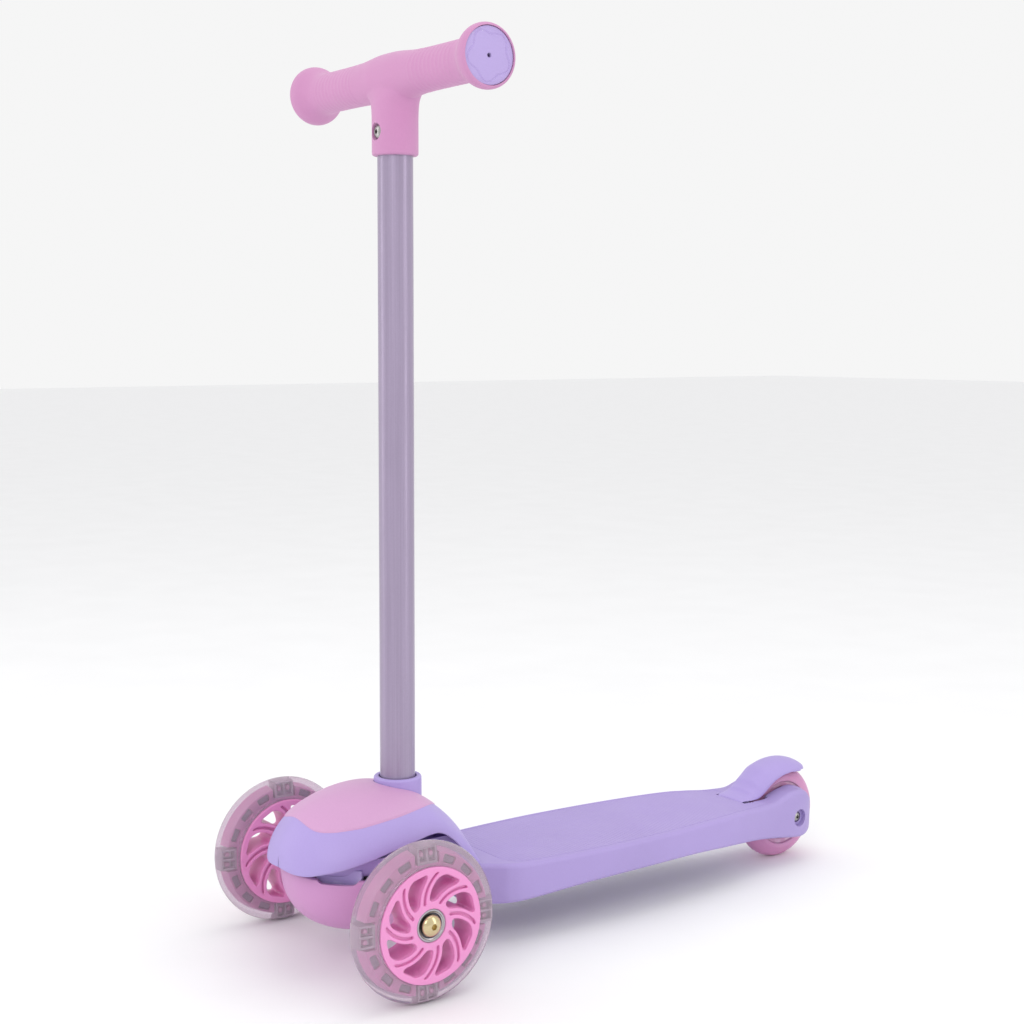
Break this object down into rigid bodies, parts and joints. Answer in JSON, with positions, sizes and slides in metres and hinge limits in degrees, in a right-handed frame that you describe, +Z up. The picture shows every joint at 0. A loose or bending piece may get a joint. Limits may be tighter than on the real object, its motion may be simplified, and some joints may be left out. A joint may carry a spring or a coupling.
{
  "type": "kick scooter",
  "caption": "Child's three-wheel lean-to-steer kick scooter with a fixed T-handle column, waisted deck, light-up front wheels, domed front cover and a foot-pressed rear fender brake.",
  "frame": {"origin": "on the ground, at the middle of the overall box", "axes": "+Z up, -Y forwards, +X to the rider's left"},
  "size_m": [0.258, 0.5696, 0.712],
  "materials": {
    "lilac_plastic": "fine satin moulded polypropylene",
    "pink_plastic": "fine satin moulded polypropylene",
    "pink_grip": "matt soft-touch grip skin with fine ribs",
    "core_plastic": "plain moulding, hidden",
    "satin_tube": "satin lilac paint on tube",
    "zinc_steel": "bright zinc plating",
    "gold_zinc": "yellow zinc plating",
    "spring_steel": "oiled spring wire",
    "dark_nylon": "glass-filled nylon",
    "magnet": "sintered ring magnet",
    "candy_plastic": "glossy candy pink moulding",
    "clear_tyre": "clear cast polyurethane",
    "rear_tyre": "dusty pink cast polyurethane",
    "light_module": "clear potted light module",
    "copper_coil": "enamelled copper winding",
    "bearing_steel": "ground bearing steel"
  },
  "bodies": {
    "deck": {"deck_board": "lilac_plastic", "front_cover": "lilac_plastic", "cover_inset": "pink_plastic", "column_socket": "lilac_plastic", "column_tube": "satin_tube", "column_bolt": "zinc_steel", "column_nut": "zinc_steel", "socket_screws": "zinc_steel", "cover_screws": "zinc_steel", "handle_core": "core_plastic", "handle_grip": "pink_grip", "end_cap_left": "lilac_plastic", "end_cap_right": "lilac_plastic", "handle_bolt": "zinc_steel", "handle_nut": "zinc_steel", "kingpin": "zinc_steel", "kingpin_nut": "zinc_steel", "kingpin_washers": "zinc_steel", "rear_axle_bolt": "zinc_steel", "rear_axle_nut": "zinc_steel", "rear_spacers": "zinc_steel", "brake_pin": "zinc_steel"},
    "truck": {"truck_shell": "pink_plastic", "truck_frame": "dark_nylon", "truck_screws": "zinc_steel", "truck_bushes": "dark_nylon", "return_spring": "spring_steel", "axle_bolt_left": "gold_zinc", "axle_bolt_right": "gold_zinc", "axle_spacers": "zinc_steel", "magnet_sleeve_left": "magnet", "magnet_sleeve_right": "magnet"},
    "front_wheel_left": {"wheel_core_left": "candy_plastic", "tyre_left": "clear_tyre", "led_modules_left": "light_module", "light_coil_left": "copper_coil", "bearings_left": "bearing_steel"},
    "front_wheel_right": {"wheel_core_right": "candy_plastic", "tyre_right": "clear_tyre", "led_modules_right": "light_module", "light_coil_right": "copper_coil", "bearings_right": "bearing_steel"},
    "rear_wheel": {"rear_core": "pink_plastic", "rear_tyre": "rear_tyre", "rear_bearings": "bearing_steel"},
    "brake": {"brake_fender": "lilac_plastic", "brake_spring": "spring_steel"}
  },
  "joints": [
    {"name": "truck_steer", "type": "hinge", "parent": "deck", "child": "truck", "pos_m": [0, -0.218, 0.096], "axis": [0, -0.4226, 0.9063], "range_deg": [-16, 16], "stiffness_Nm_per_rad": 10},
    {"name": "front_wheel_left_spin", "type": "hinge", "parent": "truck", "child": "front_wheel_left", "pos_m": [0.11, -0.222, 0.06], "axis": [1, 0, 0], "continuous": true},
    {"name": "front_wheel_right_spin", "type": "hinge", "parent": "truck", "child": "front_wheel_right", "pos_m": [-0.11, -0.222, 0.06], "axis": [1, 0, 0], "continuous": true},
    {"name": "rear_wheel_spin", "type": "hinge", "parent": "deck", "child": "rear_wheel", "pos_m": [0, 0.242, 0.043], "axis": [1, 0, 0], "continuous": true},
    {"name": "brake_press", "type": "hinge", "parent": "deck", "child": "brake", "pos_m": [0, 0.193, 0.057], "axis": [-1, 0, 0], "range_deg": [0, 3.7], "stiffness_Nm_per_rad": 2, "springref_deg": -6.88}
  ]
}
